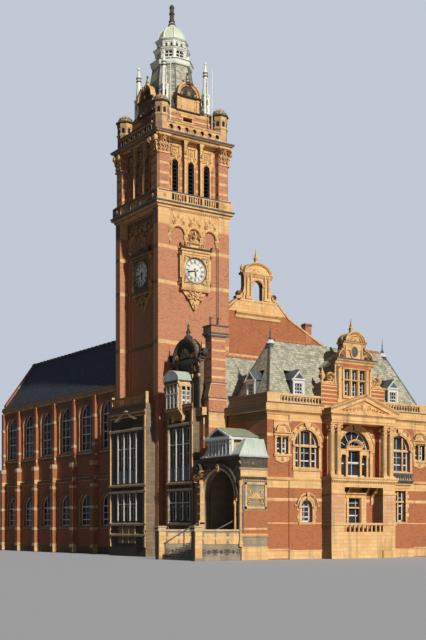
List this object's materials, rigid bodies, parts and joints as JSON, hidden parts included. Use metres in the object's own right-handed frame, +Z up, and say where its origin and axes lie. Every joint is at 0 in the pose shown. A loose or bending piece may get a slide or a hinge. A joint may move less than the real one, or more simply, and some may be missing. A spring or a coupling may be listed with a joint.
{
  "type": "town hall building, 1:2 scale model",
  "caption": "Red brick and buff stone town hall with a tall clock tower, corner porch, street wing with pedimented frontispiece, hall and side wing",
  "frame": {"origin": "near corner of the clock tower at ground level, on the level face that the building rests on", "axes": "+X along the sunny street front to the right, +Y back from the street, +Z up"},
  "size_m": [12.085, 22.76, 24.1001],
  "materials": {
    "brick": "matt red brick with buff stone bands",
    "copper": "pale green weathered copper and lead",
    "dark_iron": "black painted iron",
    "dial": "white enamelled dial, black numerals",
    "door_green": "dark green painted timber",
    "floor": "plain concrete floor",
    "glass": "dark window glass",
    "slate": "grey-green slate with terracotta ridge tiles",
    "step": "worn grey stone",
    "stone": "weathered buff terracotta and stone",
    "timber": "white painted timber"
  },
  "bodies": {
    "building": {"tower_walls": "brick", "corner_piers": "brick", "belfry_shafts": "stone", "louvres": "dark_iron", "tower_cornices": "stone", "balustrades": "stone", "tower_parapet": "stone", "corner_turrets": "brick", "tower_attic": "brick", "tower_gables": "stone", "pinnacles": "timber", "tower_roof": "slate", "lantern": "timber", "tower_dome": "copper", "clock_frames": "stone", "clock_dials": "dial", "floors": "floor", "wing_floors": "floor", "window_glass": "glass", "west_walls": "brick", "west_bays": "stone", "oriel": "stone", "west_gable": "stone", "chimney": "brick", "wing_front": "brick", "wing_ends": "brick", "doorway_walls": "brick", "front_piers": "stone", "front_columns": "stone", "pediment": "stone", "attic_gable": "stone", "cornices": "stone", "front_roofs": "slate", "dormers": "timber", "hall_gable": "brick", "hall_walls": "brick", "rear_wall": "brick", "bellcote": "stone", "hall_roof": "slate", "left_walls": "brick", "left_roof": "slate", "porch": "stone", "porch_roof": "copper", "window_box": "timber", "steps": "step", "step_walls": "stone"},
    "front_minute_hand": {"front_minute_hand": "dark_iron"},
    "front_hour_hand": {"front_hour_hand": "dark_iron"},
    "side_minute_hand": {"side_minute_hand": "dark_iron"},
    "side_hour_hand": {"side_hour_hand": "dark_iron"},
    "left_door": {"left_door": "door_green"},
    "right_door": {"right_door": "door_green"}
  },
  "joints": [
    {"name": "front_minute_turn", "type": "hinge", "parent": "building", "child": "front_minute_hand", "pos_m": [1.8, 0.08, 12.1], "axis": [0, 1, 0], "continuous": true},
    {"name": "front_hour_turn", "type": "hinge", "parent": "building", "child": "front_hour_hand", "pos_m": [1.8, 0.08, 12.1], "axis": [0, 1, 0], "continuous": true},
    {"name": "side_minute_turn", "type": "hinge", "parent": "building", "child": "side_minute_hand", "pos_m": [0.4, 1.8, 12.1], "axis": [1, 0, 0], "continuous": true},
    {"name": "side_hour_turn", "type": "hinge", "parent": "building", "child": "side_hour_hand", "pos_m": [0.4, 1.8, 12.1], "axis": [1, 0, 0], "continuous": true},
    {"name": "left_door_swing", "type": "hinge", "parent": "building", "child": "left_door", "pos_m": [1.5285, -4.02, 0.95], "axis": [0, 0, 1], "range_deg": [0, 95]},
    {"name": "right_door_swing", "type": "hinge", "parent": "building", "child": "right_door", "pos_m": [1.5285, -5.08, 0.95], "axis": [0, 0, 1], "range_deg": [-95, 0]}
  ],
  "couplings": [
    {"joint": "front_hour_turn", "follows": "front_minute_turn", "ratio": 0.083333},
    {"joint": "side_minute_turn", "follows": "front_minute_turn", "ratio": 1},
    {"joint": "side_hour_turn", "follows": "front_minute_turn", "ratio": 0.083333}
  ]
}
